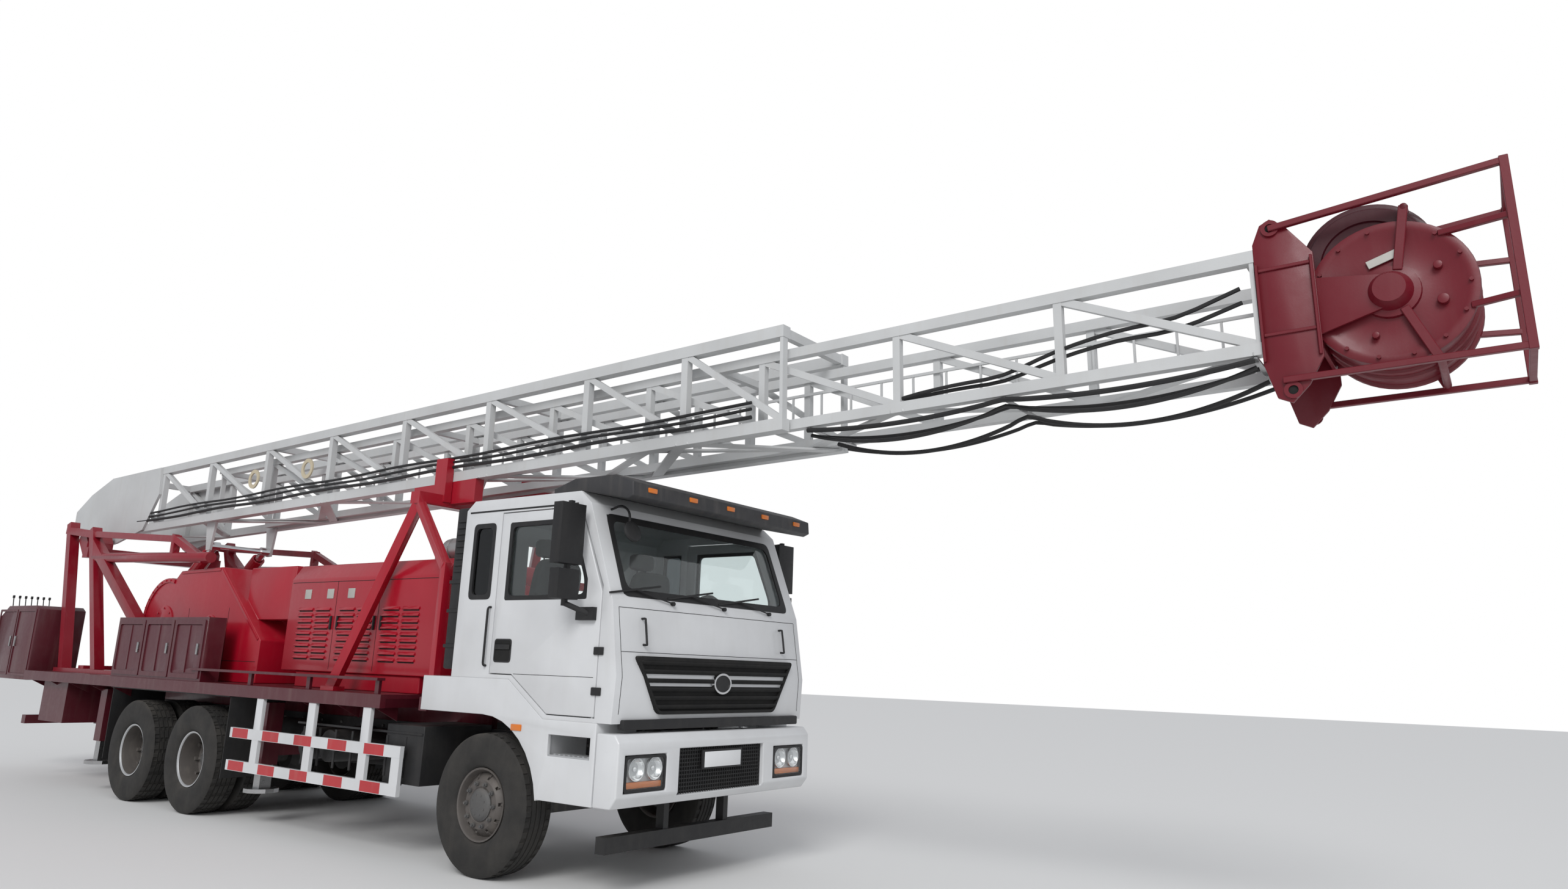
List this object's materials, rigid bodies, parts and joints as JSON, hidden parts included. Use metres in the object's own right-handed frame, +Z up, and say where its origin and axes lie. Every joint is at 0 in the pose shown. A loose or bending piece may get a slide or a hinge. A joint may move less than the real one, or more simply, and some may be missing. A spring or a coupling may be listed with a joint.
{
  "type": "workover rig",
  "caption": "Truck-mounted well servicing rig with a telescopic lattice mast lying over the cab, a covered winch and engine on the deck, and levelling jacks.",
  "frame": {"origin": "on the ground, in the middle of the rig's outline", "axes": "+X forward along the truck, +Y to the driver's left, +Z up"},
  "size_m": [18.1606, 3.11, 4.6313],
  "materials": {
    "white_paint": "gloss",
    "red_paint": "gloss",
    "maroon_paint": "satin",
    "mast_paint": "satin",
    "frame_paint": "satin",
    "black_plastic": "matte",
    "tyre_rubber": "matte",
    "wheel_paint": "satin",
    "bare_steel": "polished",
    "tank_metal": "satin",
    "clear_glass": "clear",
    "seat_cloth": "matte",
    "cast_grey": "matte"
  },
  "bodies": {
    "rig": {"chassis_frame": "frame_paint", "front_axle": "frame_paint", "middle_axle": "frame_paint", "rear_axle": "frame_paint", "rear_suspension": "frame_paint", "truck_engine": "cast_grey", "drive_shaft": "frame_paint", "battery_box": "tank_metal", "fuel_tank": "tank_metal", "deck": "maroon_paint", "side_guard_left": "white_paint", "side_guard_right": "white_paint", "rear_mudguard_left": "tyre_rubber", "rear_mudguard_right": "tyre_rubber", "cab_shell": "white_paint", "windscreen": "clear_glass", "dashboard": "black_plastic", "seats": "seat_cloth", "sun_visor": "black_plastic", "front_fender_left": "white_paint", "front_fender_right": "white_paint", "bumper": "white_paint", "rear_frame": "red_paint", "front_mast_support": "red_paint", "engine_cover": "red_paint", "deck_engine": "cast_grey", "winch_cover": "red_paint", "control_cabinet": "maroon_paint", "front_jack_beam": "red_paint", "rear_jack_beam": "frame_paint"},
    "steer_left": {"front_knuckle_left": "frame_paint"},
    "front_wheel_left": {"front_tyre_left": "tyre_rubber", "front_rim_left": "wheel_paint"},
    "middle_wheels_left": {"middle_tyres_left": "tyre_rubber", "middle_rims_left": "wheel_paint"},
    "rear_wheels_left": {"rear_tyres_left": "tyre_rubber", "rear_rims_left": "wheel_paint"},
    "door_left": {"door_left": "white_paint", "door_glass_left": "clear_glass", "mirror_left": "black_plastic"},
    "front_jack_left": {"front_jack_leg_left": "red_paint"},
    "rear_jack_left": {"rear_jack_leg_left": "red_paint"},
    "steer_right": {"front_knuckle_right": "frame_paint"},
    "front_wheel_right": {"front_tyre_right": "tyre_rubber", "front_rim_right": "wheel_paint"},
    "middle_wheels_right": {"middle_tyres_right": "tyre_rubber", "middle_rims_right": "wheel_paint"},
    "rear_wheels_right": {"rear_tyres_right": "tyre_rubber", "rear_rims_right": "wheel_paint"},
    "door_right": {"door_right": "white_paint", "door_glass_right": "clear_glass", "mirror_right": "black_plastic"},
    "front_jack_right": {"front_jack_leg_right": "red_paint"},
    "rear_jack_right": {"rear_jack_leg_right": "red_paint"},
    "mast": {"mast_lower": "mast_paint"},
    "mast_top": {"mast_upper": "mast_paint", "crown_block": "red_paint"},
    "raising_barrels": {"raising_barrels": "red_paint"},
    "raising_rods": {"raising_rods": "bare_steel"}
  },
  "joints": [
    {"name": "steer_left", "type": "hinge", "parent": "rig", "child": "steer_left", "pos_m": [1.84, 0.9, 0.56], "axis": [0, 0, 1], "range_deg": [-35, 35]},
    {"name": "steer_right", "type": "hinge", "parent": "rig", "child": "steer_right", "pos_m": [1.84, -0.9, 0.56], "axis": [0, 0, 1], "range_deg": [-35, 35]},
    {"name": "front_wheel_left", "type": "hinge", "parent": "steer_left", "child": "front_wheel_left", "pos_m": [1.84, 1.05, 0.56], "axis": [0, 1, 0], "continuous": true},
    {"name": "middle_wheels_left", "type": "hinge", "parent": "rig", "child": "middle_wheels_left", "pos_m": [-2.97, 0.8875, 0.56], "axis": [0, 1, 0], "continuous": true},
    {"name": "rear_wheels_left", "type": "hinge", "parent": "rig", "child": "rear_wheels_left", "pos_m": [-4.37, 0.8875, 0.56], "axis": [0, 1, 0], "continuous": true},
    {"name": "front_wheel_right", "type": "hinge", "parent": "steer_right", "child": "front_wheel_right", "pos_m": [1.84, -1.05, 0.56], "axis": [0, 1, 0], "continuous": true},
    {"name": "middle_wheels_right", "type": "hinge", "parent": "rig", "child": "middle_wheels_right", "pos_m": [-2.97, -0.8875, 0.56], "axis": [0, 1, 0], "continuous": true},
    {"name": "rear_wheels_right", "type": "hinge", "parent": "rig", "child": "rear_wheels_right", "pos_m": [-4.37, -0.8875, 0.56], "axis": [0, 1, 0], "continuous": true},
    {"name": "door_left", "type": "hinge", "parent": "rig", "child": "door_left", "pos_m": [3.08, 1.213, 2], "axis": [0, 0, -1], "range_deg": [0, 70]},
    {"name": "door_right", "type": "hinge", "parent": "rig", "child": "door_right", "pos_m": [3.08, -1.213, 2], "axis": [0, 0, 1], "range_deg": [0, 70]},
    {"name": "front_jack_left", "type": "slide", "parent": "rig", "child": "front_jack_left", "axis": [0, 0, -1], "range_m": [0, 0.3]},
    {"name": "front_jack_right", "type": "slide", "parent": "rig", "child": "front_jack_right", "axis": [0, 0, -1], "range_m": [0, 0.3]},
    {"name": "rear_jack_left", "type": "slide", "parent": "rig", "child": "rear_jack_left", "axis": [0, 0, -1], "range_m": [0, 0.3]},
    {"name": "rear_jack_right", "type": "slide", "parent": "rig", "child": "rear_jack_right", "axis": [0, 0, -1], "range_m": [0, 0.3]},
    {"name": "mast_raise", "type": "hinge", "parent": "rig", "child": "mast", "pos_m": [-7.56, 0, 3.22], "axis": [0, -1, 0], "range_deg": [0, 92]},
    {"name": "mast_extend", "type": "slide", "parent": "mast", "child": "mast_top", "axis": [0.9997, 0, 0.0244], "range_m": [0, 7.4]},
    {"name": "raising_swing", "type": "hinge", "parent": "rig", "child": "raising_barrels", "pos_m": [-6.86, 0, 1.55], "axis": [0, -1, 0], "range_deg": [0, 60.28]},
    {"name": "raising_stroke", "type": "slide", "parent": "raising_barrels", "child": "raising_rods", "axis": [0.787, 0, 0.617], "range_m": [0, 1.9058]}
  ],
  "couplings": [
    {"joint": "steer_right", "follows": "steer_left", "ratio": 1},
    {"joint": "raising_swing", "follows": "mast_raise", "ratio": 0.653},
    {"joint": "raising_stroke", "follows": "mast_raise", "m_per_rad": 1.185}
  ]
}
